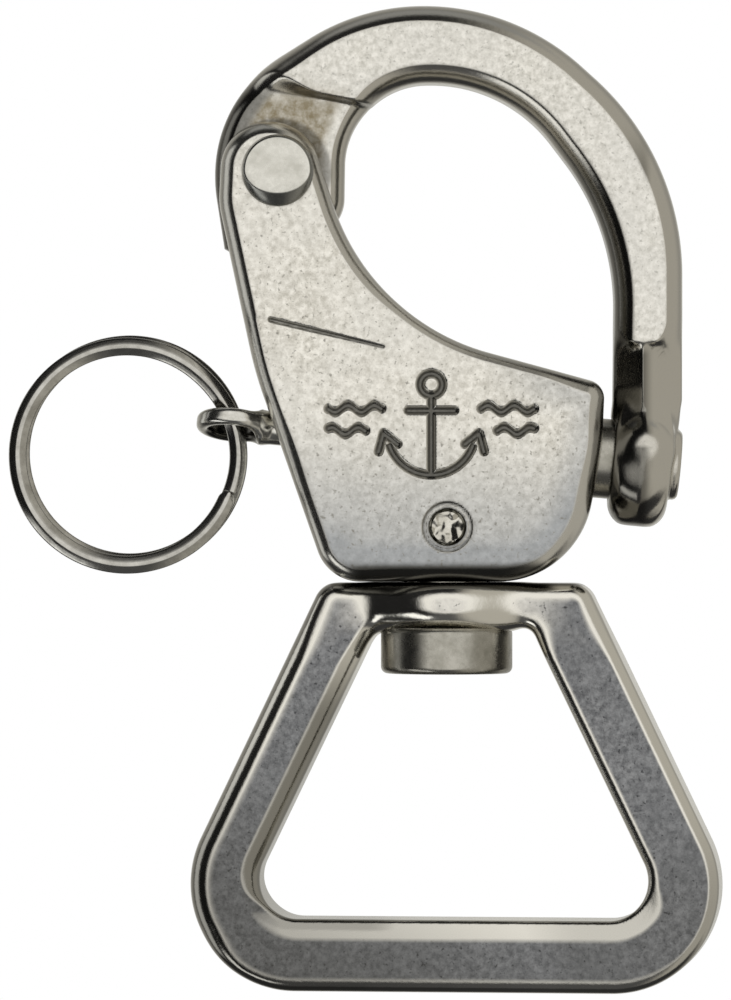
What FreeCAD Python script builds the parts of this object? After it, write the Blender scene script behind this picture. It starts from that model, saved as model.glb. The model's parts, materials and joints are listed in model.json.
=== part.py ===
"""Snap shackle with a swivelling webbing bail, a spring plunger and a split ring. Millimetres.

Frame: +Z runs up the swivel axis, +X points from the hinge towards the jaw's tip, and -Y is the
front. The origin is on the swivel axis, on the bail's inner seat, where the webbing bears.
"""
import math
import os

import FreeCAD
import Part
from FreeCAD import Vector

# Body: a flat investment casting with a fork for the jaw at its top left.
BODY_HALF_DEPTH = 6.5
BODY_EDGE_RADIUS = 1.5
BODY_BOTTOM = 33.85
BODY_RIGHT = 15.5
SLOT_HALF_WIDTH = 3.5
SLOT_RADIUS = 9.7

# Hinge at the top left: a rivet through the fork's two ears.
HINGE_X = -16.9
HINGE_Z = 74.8
HINGE_PIN_RADIUS = 2.5
HINGE_BORE_CLEARANCE = 0.05
HINGE_HEAD_RADIUS = 3.55
HINGE_HEAD_HEIGHT = 1.3
HINGE_HEAD_CHAMFER = 0.7

# Jaw: a curved arm, a thin tang between the ears and an eye for the plunger.
JAW_HALF_DEPTH = 4.75
JAW_OUTER_EDGE_RADIUS = 1.7
JAW_INNER_EDGE_RADIUS = 2.1
TANG_HALF_DEPTH = 3.3
JAW_FOOT = 45.5
# Between the arm's outer and inner outlines: how far from the throat's middle, and how far right.
JAW_MIDDLE_X = -4.0
JAW_MIDDLE_Z = 62.0
JAW_CROWN_MIDDLE = 24.5
JAW_RIGHT_MIDDLE = 20.0
KNUCKLE_RIGHT = -11.0
JAW_EYE_RADIUS = 6.6
JAW_EYE_EDGE_RADIUS = 1.2
JAW_EYE_START = 16.6
JAW_EYE_END = 22.6
JAW_EYE_HOLE_DEPTH = 4.4
JAW_EYE_FLARE_HEIGHT = 11.0
JAW_EYE_FLARE_START_DEG = 12.0
JAW_NECK_HALF_DEPTH = 3.55
JAW_BOSS_RADIUS = 3.3
JAW_BOSS_HEIGHT = 0.9
JAW_BOSS_EDGE_RADIUS = 0.4
JAW_HOLE_CLEARANCE = 0.15

# Plunger axis: it slopes down to the right and crosses the swivel axis at this height.
PLUNGER_SLOPE_DEG = 5.2
PLUNGER_AXIS_Z = 47.6
PLUNGER_RADIUS = 4.0
PLUNGER_CLEARANCE = 0.06
PLUNGER_START = 1.0
PLUNGER_END = 20.6
PLUNGER_NOSE_CHAMFER = 0.5
BORE_START = -13.6

# Pull eye: a rod through the body's left wall with a flat eye forged on its end.
ROD_RADIUS = 1.65
ROD_END = 13.0
ROD_HOLE_CLEARANCE = 0.08
ROD_MOUTH_RADIUS = 2.1
ROD_MOUTH_END = -16.3
EYE_CENTRE = -21.6
EYE_RADIUS = 3.6
EYE_HOLE_RADIUS = 2.3
EYE_THICKNESS = 1.6
EYE_OVERLAP = 0.9
EYE_EDGE_RADIUS = 0.5
EYE_TILT_DEG = -16.0

# Spring round the rod, between the bore's blind end and the plunger's back.
SPRING_WIRE_RADIUS = 0.4
SPRING_MEAN_RADIUS = 2.9
SPRING_COILS = 8
SPRING_END_GAP = 0.05

# Split ring, two turns of flattened wire.
RING_CENTRE_X = -32.1
RING_CENTRE_Z = 46.4
RING_INNER_RADIUS = 10.0
RING_OUTER_RADIUS = 11.85
RING_TURN_WIDTH = 1.1
RING_EDGE_RADIUS = 0.3

# Swivel stud through the bail, held in the body by a cross pin.
STUD_HEAD_RADIUS = 6.6
STUD_HEAD_BOTTOM = 24.6
STUD_HEAD_TOP = 29.25
STUD_HEAD_EDGE = 0.7
STUD_RADIUS = 4.0
STUD_TOP = 42.3
CROSS_PIN_Z = 39.3
CROSS_PIN_RADIUS = 1.8
CROSS_PIN_CHAMFER = 0.25

# Bail: a triangular webbing loop with a round boss for the stud.
BAIL_HALF_DEPTH = 4.0
BAIL_TURN_DEG = -7.0
BAIL_TOP = 33.7
BAIL_BAR_UNDERSIDE = 29.4
BAIL_BOTTOM = -7.3
BAIL_FRAME_OFFSET = 0.9
BAIL_OUTER_EDGE_RADIUS = 1.1
BAIL_INNER_EDGE_RADIUS = 2.0
BAIL_LEG_MIDDLE = 19.5
BAIL_LEG_LEAN = 0.455
BAIL_BOSS_RADIUS = 7.4
BAIL_BOSS_EDGE_RADIUS = 1.0
BAIL_BORE_CLEARANCE = 0.1

SLOPE = math.radians(PLUNGER_SLOPE_DEG)
PLUNGER_DIRECTION = Vector(math.cos(SLOPE), 0, -math.sin(SLOPE))


def front(x, z, y=0.0):
    """A point given by its place in the front view."""
    return Vector(x, y, z)


def on_axis(distance):
    """A point on the plunger's axis, measured from where it crosses the swivel axis."""
    return Vector(0, 0, PLUNGER_AXIS_Z) + PLUNGER_DIRECTION * distance


def outline(corners):
    """A closed face in the front view, from its corners, each an x, a z and a rounding radius.

    Every arc is tangent to its two sides, and a radius of 0 leaves the corner sharp."""
    edges = []
    ends = []
    for i, (x, z, radius) in enumerate(corners):
        corner = front(x, z)
        back = (front(*corners[i - 1][:2]) - corner).normalize()
        ahead = (front(*corners[(i + 1) % len(corners)][:2]) - corner).normalize()
        if radius == 0:
            ends.append((corner, corner, corner))
            continue
        half = back.getAngle(ahead) / 2
        reach = radius / math.tan(half)
        middle = corner + (back + ahead).normalize() * (radius / math.sin(half) - radius)
        ends.append((corner + back * reach, middle, corner + ahead * reach))
    for i, (start, middle, end) in enumerate(ends):
        if start != end:
            edges.append(Part.Arc(start, middle, end).toShape())
        following = ends[(i + 1) % len(ends)][0]
        if (following - end).Length > 1e-6:
            edges.append(Part.LineSegment(end, following).toShape())
    return Part.Face(Part.Wire(edges))


def plate(face, half_depth):
    """A face of the front view made as thick as the piece, equally to the front and the back."""
    solid = face.extrude(Vector(0, 2 * half_depth, 0))
    solid.translate(Vector(0, -half_depth, 0))
    return solid


def rim_edges(solid, half_depth, keep=lambda point: True):
    """The edges round a plate's front and back faces whose middles pass the test."""
    chosen = []
    for edge in solid.Edges:
        box = edge.BoundBox
        flat = box.YLength < 1e-6 and abs(abs(box.YMin) - half_depth) < 1e-6
        if flat and keep(edge.valueAt((edge.FirstParameter + edge.LastParameter) / 2)):
            chosen.append(edge)
    return chosen


def rod(radius, start, end):
    """A cylinder along the plunger's axis."""
    return Part.makeCylinder(radius, end - start, on_axis(start), PLUNGER_DIRECTION)


def circles(solid):
    """A round solid's circular edges."""
    return [edge for edge in solid.Edges if edge.Curve.TypeId == "Part::GeomCircle"]


def circles_at(solid, centre):
    return [edge for edge in circles(solid) if (edge.Curve.Center - centre).Length < 1e-6]


def cross_cylinder(radius, half_length, x, z):
    """A cylinder from front to back."""
    return Part.makeCylinder(radius, 2 * half_length, front(x, z, -half_length), Vector(0, 1, 0))


def shackle_body():
    face = outline(
        [
            (-11.85, BODY_BOTTOM, 4.5),
            (12.9, BODY_BOTTOM, 9.5),
            (BODY_RIGHT, 47.0, 20.0),
            (15.75, 53.55, 1.9),
            (-7.65, 59.9, 22.5),
            (-14.0, 79.8, 4.9),
            (-22.4, 79.8, 4.8),
            (-22.8, 71.6, 8.0),
            (-19.2, 54.8, 40.0),
        ]
    )
    body = plate(face, BODY_HALF_DEPTH)
    body = body.makeFillet(BODY_EDGE_RADIUS, rim_edges(body, BODY_HALF_DEPTH))
    slot = cross_cylinder(SLOT_RADIUS, SLOT_HALF_WIDTH, HINGE_X, HINGE_Z)
    pin_bore = cross_cylinder(HINGE_PIN_RADIUS, BODY_HALF_DEPTH + 1, HINGE_X, HINGE_Z)
    plunger_bore = rod(PLUNGER_RADIUS + PLUNGER_CLEARANCE, BORE_START, JAW_EYE_START)
    rod_hole = rod(ROD_RADIUS + ROD_HOLE_CLEARANCE, EYE_CENTRE, BORE_START + 1)
    rod_mouth = rod(ROD_MOUTH_RADIUS, EYE_CENTRE, ROD_MOUTH_END)
    stud_bore = Part.makeCylinder(STUD_RADIUS, STUD_TOP - BODY_BOTTOM + 1, Vector(0, 0, BODY_BOTTOM - 1))
    cross_bore = cross_cylinder(CROSS_PIN_RADIUS, BODY_HALF_DEPTH + 1, 0, CROSS_PIN_Z)
    for tool in (slot, pin_bore, plunger_bore, rod_hole, rod_mouth, stud_bore, cross_bore):
        body = body.cut(tool)
    return body


def jaw_arm():
    """The arm with its knuckle and tail, still at full depth all over."""
    face = outline(
        [
            (-23.2, 82.4, 14.0),
            (-8.5, 91.5, 21.5),
            (6.8, 91.5, 23.5),
            (23.6, 76.3, 26.5),
            (23.6, 52.0, 3.0),
            (22.5, JAW_FOOT, 0),
            (16.6, JAW_FOOT, 0),
            (16.85, 69.3, 24.0),
            (5.9, 83.7, 15.0),
            (-5.6, 83.7, 8.2),
            (-10.15, 78.5, 8.0),
            (-10.3, 69.0, 4.0),
            (-22.2, 66.6, 0),
            (-23.25, 73.3, 15.0),
        ]
    )
    arm = plate(face, JAW_HALF_DEPTH)

    def outside(point):
        reach = math.hypot(point.x - JAW_MIDDLE_X, point.z - JAW_MIDDLE_Z)
        return point.x > JAW_RIGHT_MIDDLE or reach > JAW_CROWN_MIDDLE and point.x < BODY_RIGHT

    def inside(point):
        return KNUCKLE_RIGHT < point.x < JAW_RIGHT_MIDDLE and point.z > JAW_FOOT and not outside(point)

    arm = arm.makeFillet(JAW_OUTER_EDGE_RADIUS, rim_edges(arm, JAW_HALF_DEPTH, outside))
    return arm.makeFillet(JAW_INNER_EDGE_RADIUS, rim_edges(arm, JAW_HALF_DEPTH, inside))


def jaw_cheeks():
    """What is cut from the arm's two sides to leave the tang: everything below the shoulder."""
    corners = [(-30.0, 85.8), (-15.9, 83.1), (-10.4, 82.1), (-6.0, 81.3), (-6.0, 60.0), (-30.0, 60.0)]
    face = Part.Face(Part.makePolygon([front(*corner) for corner in corners + corners[:1]]))
    side = face.extrude(Vector(0, JAW_HALF_DEPTH, 0))
    near = side.translated(Vector(0, -JAW_HALF_DEPTH - TANG_HALF_DEPTH, 0))
    far = side.translated(Vector(0, TANG_HALF_DEPTH, 0))
    return near.fuse(far)


def jaw_eye():
    """The thick end round the plunger's hole, flaring out of the arm."""
    up = Vector(math.sin(SLOPE), 0, math.cos(SLOPE))
    across = Vector(0, 1, 0)
    centre = on_axis(JAW_EYE_START)

    def spot(y, height):
        return centre + across * y + up * height

    flare_start = math.radians(JAW_EYE_FLARE_START_DEG)
    side = JAW_EYE_RADIUS * math.cos(flare_start)
    rise = JAW_EYE_RADIUS * math.sin(flare_start)
    neck = JAW_NECK_HALF_DEPTH
    edges = [
        Part.Arc(spot(side, rise), spot(0, -JAW_EYE_RADIUS), spot(-side, rise)).toShape(),
        Part.LineSegment(spot(-side, rise), spot(-neck, JAW_EYE_FLARE_HEIGHT)).toShape(),
        Part.LineSegment(spot(-neck, JAW_EYE_FLARE_HEIGHT), spot(neck, JAW_EYE_FLARE_HEIGHT)).toShape(),
        Part.LineSegment(spot(neck, JAW_EYE_FLARE_HEIGHT), spot(side, rise)).toShape(),
    ]
    eye = Part.Face(Part.Wire(edges)).extrude(PLUNGER_DIRECTION * (JAW_EYE_END - JAW_EYE_START))
    rims = []
    for edge in eye.Edges:
        middle = edge.valueAt((edge.FirstParameter + edge.LastParameter) / 2)
        along = (middle - on_axis(0)).dot(PLUNGER_DIRECTION)
        at_end = min(abs(along - JAW_EYE_START), abs(along - JAW_EYE_END)) < 1e-6
        if at_end and (middle - centre).dot(up) < JAW_EYE_FLARE_HEIGHT - 1e-6:
            rims.append(edge)
    eye = eye.makeFillet(JAW_EYE_EDGE_RADIUS, rims)
    boss = rod(JAW_BOSS_RADIUS, JAW_EYE_START + JAW_EYE_HOLE_DEPTH + 1, JAW_EYE_END + JAW_BOSS_HEIGHT)
    end = on_axis(JAW_EYE_END + JAW_BOSS_HEIGHT)
    return eye.fuse(boss.makeFillet(JAW_BOSS_EDGE_RADIUS, circles_at(boss, end)))


def jaw():
    solid = jaw_arm().cut(jaw_cheeks()).fuse(jaw_eye())
    hinge_bore = cross_cylinder(HINGE_PIN_RADIUS + HINGE_BORE_CLEARANCE, JAW_HALF_DEPTH, HINGE_X, HINGE_Z)
    hole = rod(PLUNGER_RADIUS + JAW_HOLE_CLEARANCE, JAW_EYE_START - 1, JAW_EYE_START + JAW_EYE_HOLE_DEPTH)
    return solid.cut(hinge_bore).cut(hole).removeSplitter()


def hinge_pin():
    """A rivet: a plain shank with a chamfered head outside each ear."""
    pin = cross_cylinder(HINGE_PIN_RADIUS, BODY_HALF_DEPTH, HINGE_X, HINGE_Z)
    outward = BODY_HALF_DEPTH + HINGE_HEAD_HEIGHT
    rim = HINGE_HEAD_RADIUS - HINGE_HEAD_CHAMFER
    for side in (-1, 1):
        foot = front(HINGE_X, HINGE_Z, side * BODY_HALF_DEPTH)
        shoulder = front(HINGE_X, HINGE_Z, side * (outward - HINGE_HEAD_CHAMFER))
        outwards = Vector(0, side, 0)
        drum = Part.makeCylinder(HINGE_HEAD_RADIUS, HINGE_HEAD_HEIGHT - HINGE_HEAD_CHAMFER, foot, outwards)
        cap = Part.makeCone(HINGE_HEAD_RADIUS, rim, HINGE_HEAD_CHAMFER, shoulder, outwards)
        pin = pin.fuse(drum).fuse(cap)
    return pin.removeSplitter()


def plunger():
    """The locking bolt: a plain cylinder with a chamfered nose, bored for the rod's end."""
    bolt = rod(PLUNGER_RADIUS, PLUNGER_START, PLUNGER_END)
    bolt = bolt.makeChamfer(PLUNGER_NOSE_CHAMFER, circles_at(bolt, on_axis(PLUNGER_END)))
    return bolt.cut(rod(ROD_RADIUS, PLUNGER_START - 1, ROD_END))


def pull_eye():
    """The rod that carries the bolt, with a flat eye on its outer end, turned a little about the rod."""
    shank = rod(ROD_RADIUS, EYE_CENTRE + EYE_RADIUS - EYE_OVERLAP, ROD_END)
    centre = on_axis(EYE_CENTRE)
    normal = Vector(math.sin(SLOPE), 0, math.cos(SLOPE))
    disc = Part.makeCylinder(EYE_RADIUS, EYE_THICKNESS, centre - normal * (EYE_THICKNESS / 2), normal)
    disc = disc.makeFillet(EYE_EDGE_RADIUS, circles(disc))
    hole = Part.makeCylinder(EYE_HOLE_RADIUS, 2 * EYE_THICKNESS, centre - normal * EYE_THICKNESS, normal)
    disc.rotate(centre, PLUNGER_DIRECTION, EYE_TILT_DEG)
    hole.rotate(centre, PLUNGER_DIRECTION, EYE_TILT_DEG)
    return shank.fuse(disc).cut(hole)


def plunger_spring():
    """An open coil spring round the rod."""
    start = BORE_START + SPRING_WIRE_RADIUS + SPRING_END_GAP
    length = PLUNGER_START - BORE_START - 2 * (SPRING_WIRE_RADIUS + SPRING_END_GAP)
    path = Part.makeHelix(length / SPRING_COILS, length, SPRING_MEAN_RADIUS)
    circle = Part.makeCircle(SPRING_WIRE_RADIUS, Vector(SPRING_MEAN_RADIUS, 0, 0), Vector(0, 1, 0))
    coil = Part.Wire(path).makePipeShell([Part.Wire(circle)], True, True)
    coil.Placement = FreeCAD.Placement(on_axis(start), FreeCAD.Rotation(Vector(0, 0, 1), PLUNGER_DIRECTION))
    return coil


def split_ring():
    """Two flat turns side by side, with a small step between their closed faces."""
    turns = []
    for near_side in (-RING_TURN_WIDTH, 0):
        base = front(RING_CENTRE_X, RING_CENTRE_Z, near_side)
        turn = Part.makeCylinder(RING_OUTER_RADIUS, RING_TURN_WIDTH, base, Vector(0, 1, 0))
        turn = turn.cut(Part.makeCylinder(RING_INNER_RADIUS, RING_TURN_WIDTH, base, Vector(0, 1, 0)))
        turns.append(turn.makeFillet(RING_EDGE_RADIUS, circles(turn)))
    return turns[0].fuse(turns[1])


def swivel_stud():
    """A round head below the bail's bar and a shank up into the body."""
    bottom = Vector(0, 0, STUD_HEAD_BOTTOM)
    head = Part.makeCylinder(STUD_HEAD_RADIUS, STUD_HEAD_TOP - STUD_HEAD_BOTTOM, bottom)
    head = head.makeFillet(STUD_HEAD_EDGE, circles(head))
    shank = Part.makeCylinder(STUD_RADIUS, STUD_TOP - STUD_HEAD_BOTTOM, bottom)
    return head.fuse(shank).cut(cross_cylinder(CROSS_PIN_RADIUS, 2 * STUD_RADIUS, 0, CROSS_PIN_Z))


def cross_pin():
    """A plain pin, staked flush in both of the body's faces."""
    pin = cross_cylinder(CROSS_PIN_RADIUS, BODY_HALF_DEPTH, 0, CROSS_PIN_Z)
    return pin.makeChamfer(CROSS_PIN_CHAMFER, circles(pin))


def bail():
    outer = outline(
        [
            (-33.0, BAIL_BOTTOM, 10.7),
            (33.0, BAIL_BOTTOM, 10.7),
            (13.25, BAIL_TOP, 2.6),
            (-13.25, BAIL_TOP, 2.6),
        ]
    )
    inner = outline(
        [
            (-22.0, 0.0, 4.0),
            (22.0, 0.0, 4.0),
            (7.75, BAIL_BAR_UNDERSIDE, 2.0),
            (-7.75, BAIL_BAR_UNDERSIDE, 2.0),
        ]
    )
    frame = plate(outer.cut(inner), BAIL_HALF_DEPTH)

    def inside(point):
        leg_middle = BAIL_LEG_MIDDLE - BAIL_LEG_LEAN * point.z
        return abs(point.x) < leg_middle and BAIL_BOTTOM / 2 < point.z < (BAIL_TOP + BAIL_BAR_UNDERSIDE) / 2

    frame = frame.makeFillet(BAIL_INNER_EDGE_RADIUS, rim_edges(frame, BAIL_HALF_DEPTH, inside))
    outer_rim = rim_edges(frame, BAIL_HALF_DEPTH, lambda point: not inside(point))
    frame = frame.makeFillet(BAIL_OUTER_EDGE_RADIUS, outer_rim)
    frame.translate(Vector(BAIL_FRAME_OFFSET, 0, 0))
    height = BAIL_TOP - BAIL_BAR_UNDERSIDE
    underside = Vector(0, 0, BAIL_BAR_UNDERSIDE)
    boss = Part.makeCylinder(BAIL_BOSS_RADIUS, height, underside)
    boss = boss.makeFillet(BAIL_BOSS_EDGE_RADIUS, circles(boss))
    bore = Part.makeCylinder(STUD_RADIUS + BAIL_BORE_CLEARANCE, height, underside)
    solid = frame.fuse(boss).cut(bore)
    solid.rotate(Vector(0, 0, 0), Vector(0, 0, 1), BAIL_TURN_DEG)
    return solid


PIECES = (
    shackle_body,
    jaw,
    hinge_pin,
    plunger,
    pull_eye,
    plunger_spring,
    split_ring,
    swivel_stud,
    cross_pin,
    bail,
)

os.makedirs("parts", exist_ok=True)
for piece in PIECES:
    shape = piece()
    if shape.ShapeType != "Solid":
        shape = shape.Solids[0]
    print(piece.__name__, shape.isValid(), round(shape.Volume, 1), shape.BoundBox)
    shape.exportStep(f"parts/{piece.__name__}.step")
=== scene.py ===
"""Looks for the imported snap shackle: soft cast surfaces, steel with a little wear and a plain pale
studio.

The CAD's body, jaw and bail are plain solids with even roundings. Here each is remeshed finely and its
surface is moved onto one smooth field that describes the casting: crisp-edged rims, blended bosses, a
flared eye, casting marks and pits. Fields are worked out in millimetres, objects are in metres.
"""
import json
import math

import bmesh
import bpy
import numpy as np
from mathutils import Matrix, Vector


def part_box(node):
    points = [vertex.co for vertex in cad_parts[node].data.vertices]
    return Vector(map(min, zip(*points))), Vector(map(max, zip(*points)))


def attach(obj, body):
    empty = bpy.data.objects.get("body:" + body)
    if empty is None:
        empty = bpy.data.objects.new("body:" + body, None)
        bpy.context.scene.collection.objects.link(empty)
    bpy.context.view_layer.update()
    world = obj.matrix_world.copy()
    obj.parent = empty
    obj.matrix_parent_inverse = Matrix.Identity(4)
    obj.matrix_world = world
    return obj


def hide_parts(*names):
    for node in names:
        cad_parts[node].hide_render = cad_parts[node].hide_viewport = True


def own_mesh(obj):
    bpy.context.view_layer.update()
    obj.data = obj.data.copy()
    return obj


MM = 0.001
SEED = 7
NO_PITS = 99.0  # a half depth that no point reaches

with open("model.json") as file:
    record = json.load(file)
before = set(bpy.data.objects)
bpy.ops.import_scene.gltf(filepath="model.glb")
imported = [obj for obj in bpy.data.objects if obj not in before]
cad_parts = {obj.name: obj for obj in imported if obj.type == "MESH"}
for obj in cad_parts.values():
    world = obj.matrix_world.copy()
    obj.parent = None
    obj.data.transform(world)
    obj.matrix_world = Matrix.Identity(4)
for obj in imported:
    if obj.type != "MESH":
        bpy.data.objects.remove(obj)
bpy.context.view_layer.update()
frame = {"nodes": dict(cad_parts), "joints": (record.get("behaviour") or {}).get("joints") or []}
joints = {joint["name"]: joint for joint in frame["joints"]}


# ---------------------------------------------------------------- fields

def smooth_step(low, high, value):
    t = np.clip((value - low) / (high - low), 0.0, 1.0)
    return t * t * (3.0 - 2.0 * t)


def smooth_max(a, b, k):
    """The larger of two fields, with a rounding of about k where they cross."""
    h = np.maximum(k - np.abs(a - b), 0.0) / k
    return np.maximum(a, b) + h * h * k * 0.25


def smooth_min(a, b, k):
    return -smooth_max(-a, -b, k)


class Outline:
    """A rounded polygon in the front view. Depth inside it is positive and outside negative."""

    def __init__(self, corners):
        self.lines = []
        self.arcs = []
        points = [np.array(corner[:2], float) for corner in corners]
        radii = [corner[2] for corner in corners]
        count = len(points)
        area = sum(points[i - 1][0] * points[i][1] - points[i][0] * points[i - 1][1] for i in range(count))
        if area < 0:
            points.reverse()
            radii.reverse()
        starts = []
        ends = []
        for i, corner in enumerate(points):
            back = points[i - 1] - corner
            ahead = points[(i + 1) % count] - corner
            back /= np.linalg.norm(back)
            ahead /= np.linalg.norm(ahead)
            half = math.acos(np.clip(back @ ahead, -1, 1)) / 2
            reach = radii[i] / math.tan(half)
            starts.append(corner + back * reach)
            ends.append(corner + ahead * reach)
            if radii[i] > 0:
                inward = (back + ahead) / np.linalg.norm(back + ahead)
                centre = corner + inward * radii[i] / math.sin(half)
                turn = -back[0] * ahead[1] + back[1] * ahead[0]
                side = 1.0 if turn > 0 else -1.0
                self.arcs.append((centre, radii[i], -inward, math.cos(math.pi / 2 - half), side))
        for i in range(count):
            self.lines.append((ends[i], starts[(i + 1) % count]))

    def depth(self, x, z):
        best = np.full(x.shape, 1e9)
        signed = np.zeros(x.shape)
        for start, end in self.lines:
            along = end - start
            length = np.linalg.norm(along)
            if length < 1e-9:
                continue
            along = along / length
            dx = x - start[0]
            dz = z - start[1]
            t = np.clip(dx * along[0] + dz * along[1], 0, length)
            away = np.hypot(dx - along[0] * t, dz - along[1] * t)
            side = np.where(along[0] * dz - along[1] * dx >= 0, 1.0, -1.0)
            closer = away < best
            best = np.where(closer, away, best)
            signed = np.where(closer, side * away, signed)
        for centre, radius, outward, limit, side in self.arcs:
            dx = x - centre[0]
            dz = z - centre[1]
            far = np.hypot(dx, dz)
            inside_wedge = dx * outward[0] + dz * outward[1] >= far * limit
            value = side * (radius - far)
            closer = inside_wedge & (np.abs(value) < best + 1e-9)
            best = np.where(closer, np.abs(value), best)
            signed = np.where(closer, value, signed)
        return signed


def rim(depth, y, half_depth, radius, tilt_deg):
    """A plate's edge: an arc that meets the side wall smoothly and the face at an angle of tilt."""
    tilt = np.radians(tilt_deg)
    crown = half_depth + radius * (1 - np.cos(tilt))
    over = radius - depth
    up = np.abs(y) - (crown - radius)
    corner = np.hypot(np.maximum(over, 0), np.maximum(up, 0)) - radius
    return np.where((over > 0) & (up > 0), corner, np.maximum(-depth, np.abs(y) - crown))


def rounded_drum(radial, along, radius, half_length, edge):
    """A short cylinder with rounded edges, from how far a point is from its axis and its middle."""
    a = radial - (radius - edge)
    b = np.abs(along) - (half_length - edge)
    return np.hypot(np.maximum(a, 0), np.maximum(b, 0)) + np.minimum(np.maximum(a, b), 0) - edge


def stroke(x, z, start, end):
    """Distance from a straight engraved stroke."""
    dx = end[0] - start[0]
    dz = end[1] - start[1]
    t = np.clip(((x - start[0]) * dx + (z - start[1]) * dz) / (dx * dx + dz * dz), 0, 1)
    return np.hypot(x - start[0] - dx * t, z - start[1] - dz * t)


# ---------------------------------------------------------------- the three castings

HINGE = np.array(joints["jaw_pivot"]["pos_m"]) / MM
SLIDE = -np.array(joints["plunger_slide"]["axis"])
PLUNGER_CROSSING_Z = 47.6
BODY_HALF_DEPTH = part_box("shackle_body")[1][1] / MM
JAW_HALF_DEPTH = 4.75
TANG_HALF_DEPTH = 3.3
BAIL_HALF_DEPTH = 4.0
BAIL_TURN = math.radians(-7.0)
BAIL_OFFSET = 0.9

BODY = Outline(
    [
        (-11.85, 33.85, 4.5), (12.9, 33.85, 9.5), (15.5, 47.0, 20.0), (15.75, 53.55, 1.9),
        (-7.65, 59.9, 22.5), (-14.0, 79.8, 4.9), (-22.4, 79.8, 4.8), (-22.8, 71.6, 8.0),
        (-19.2, 54.8, 40.0),
    ]
)
JAW = Outline(
    [
        (-23.2, 82.4, 14.0), (-8.5, 91.5, 21.5), (6.8, 91.5, 23.5), (23.6, 76.3, 26.5),
        (23.6, 52.0, 3.0), (22.5, 45.5, 0), (16.6, 45.5, 0), (16.85, 69.3, 24.0),
        (5.9, 83.7, 15.0), (-5.6, 83.7, 8.2), (-10.15, 78.5, 8.0), (-10.3, 69.0, 4.0),
        (-22.2, 66.6, 0), (-23.25, 73.3, 15.0),
    ]
)
THROAT_CENTRE = (3.0, 66.0)
EYE_MIDDLE = 19.55
CROSS_PIN_Z = 39.3
CUT_START = (-17.6, 59.95)
CUT_END = (-6.4, 57.25)
BAIL_TOP = 33.78
BAIL_OUTER = Outline(
    [(-33.0, -7.3, 10.7), (33.0, -7.3, 10.7), (13.25, BAIL_TOP, 2.6), (-13.25, BAIL_TOP, 2.6)]
)
BAIL_INNER = Outline([(-22.0, 0.0, 4.0), (22.0, 0.0, 4.0), (7.75, 29.4, 2.0), (-7.75, 29.4, 2.0)])


def on_plunger(x, y, z):
    """Distance along the plunger's axis from the swivel axis, and distance from the axis."""
    dz = z - PLUNGER_CROSSING_Z
    along = x * SLIDE[0] + dz * SLIDE[2]
    return along, np.sqrt(np.maximum(x * x + y * y + dz * dz - along * along, 0))


def anchor_mark(x, z):
    """Distance from the strokes of a plain anchor between short waves, engraved in the body's face."""
    cx, cz = -1.6, 48.9
    ring = np.abs(np.hypot(x - cx, z - cz - 4.6) - 1.1)
    shank = stroke(x, z, (cx, cz + 3.5), (cx, cz - 4.4))
    stock = stroke(x, z, (cx - 2.3, cz + 2.0), (cx + 2.3, cz + 2.0))
    angle = np.arctan2(z - cz, x - cx)
    bowl = np.where((angle < -0.3) & (angle > -2.84), np.abs(np.hypot(x - cx, z - cz) - 4.4), 9.0)
    marks = [ring, shank, stock, bowl]
    for side in (-1, 1):
        tip = (cx + side * 4.75, cz - 0.25)
        marks.append(stroke(x, z, tip, (cx + side * 3.35, cz - 1.35)))
        marks.append(stroke(x, z, tip, (cx + side * 5.25, cz - 2.1)))
        for start, level, reach in ((5.0, 2.2, 5.2), (6.6, 0.0, 3.6)):
            near = cx + side * start
            t = np.clip((x - near) * side, 0, reach)
            marks.append(np.hypot((x - near) * side - t, z - cz - level - 0.34 * np.sin(t * 2.4)) * 0.9)
    return np.minimum.reduce(marks)


def from_cut(x, z):
    """Distance from the fine cut across the body's face."""
    return stroke(x, z, CUT_START, CUT_END)


def crease(x, z):
    """How deep the cut goes, which is most at its left end."""
    slip = smooth_step(-5.0, -17.0, x)
    return (0.12 + 0.24 * slip) * smooth_step(0.22 + 0.14 * slip, 0.04, from_cut(x, z))


def above_shoulder(x, z):
    """How far a point is above the line by the hinge where the jaw steps down to its tang."""
    return (z - 83.1) + 0.19 * (x + 15.9)


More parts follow.
